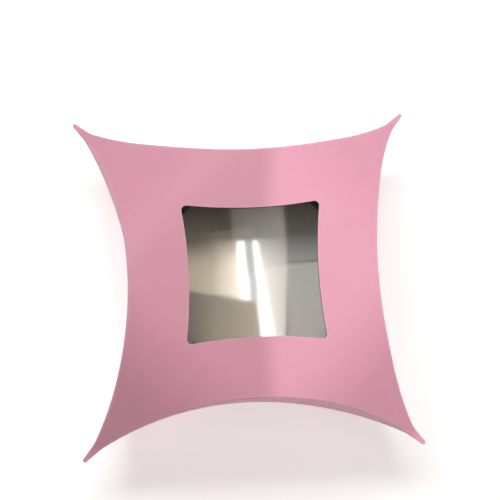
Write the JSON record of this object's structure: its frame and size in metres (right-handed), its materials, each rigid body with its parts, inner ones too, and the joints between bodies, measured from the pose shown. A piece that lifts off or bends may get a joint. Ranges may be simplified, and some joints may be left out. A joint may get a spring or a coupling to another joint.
{
  "type": "favor box",
  "caption": "Square pillow favor box of thin card with pinched corner tips, curved side walls, a clear front window and a lower side that opens with flaps.",
  "frame": {"origin": "centre of the flat middle of the back panel, on its outer face, where the box rests", "axes": "+Z out through the window, +Y to the top wall and away from the opening side, +X to the right as the window is looked at with +Y up"},
  "size_m": [0.1206, 0.1206, 0.06],
  "materials": {
    "card": "pearl pink card, satin",
    "film": "clear glossy film",
    "glue": "clear dried glue"
  },
  "bodies": {
    "box": {"front_panel": "card", "back_panel": "card", "top_wall": "card", "left_wall": "card", "right_wall": "card", "left_glue_flap": "card", "right_glue_flap": "card", "left_glue_line": "glue", "right_glue_line": "glue", "window_film": "film", "window_glue": "glue"},
    "outer_flap": {"outer_flap": "card"},
    "inner_flap": {"inner_flap": "card"}
  },
  "joints": [
    {"name": "outer_flap_crease", "type": "hinge", "parent": "box", "child": "outer_flap", "pos_m": [0, -0.0419, 0.06], "axis": [-1, 0, 0], "range_deg": [0, 110]},
    {"name": "inner_flap_crease", "type": "hinge", "parent": "box", "child": "inner_flap", "pos_m": [0, -0.0411, 0.0005], "axis": [1, 0, 0], "range_deg": [0, 55]}
  ],
  "couplings": [
    {"joint": "inner_flap_crease", "follows": "outer_flap_crease", "ratio": 0.5}
  ]
}
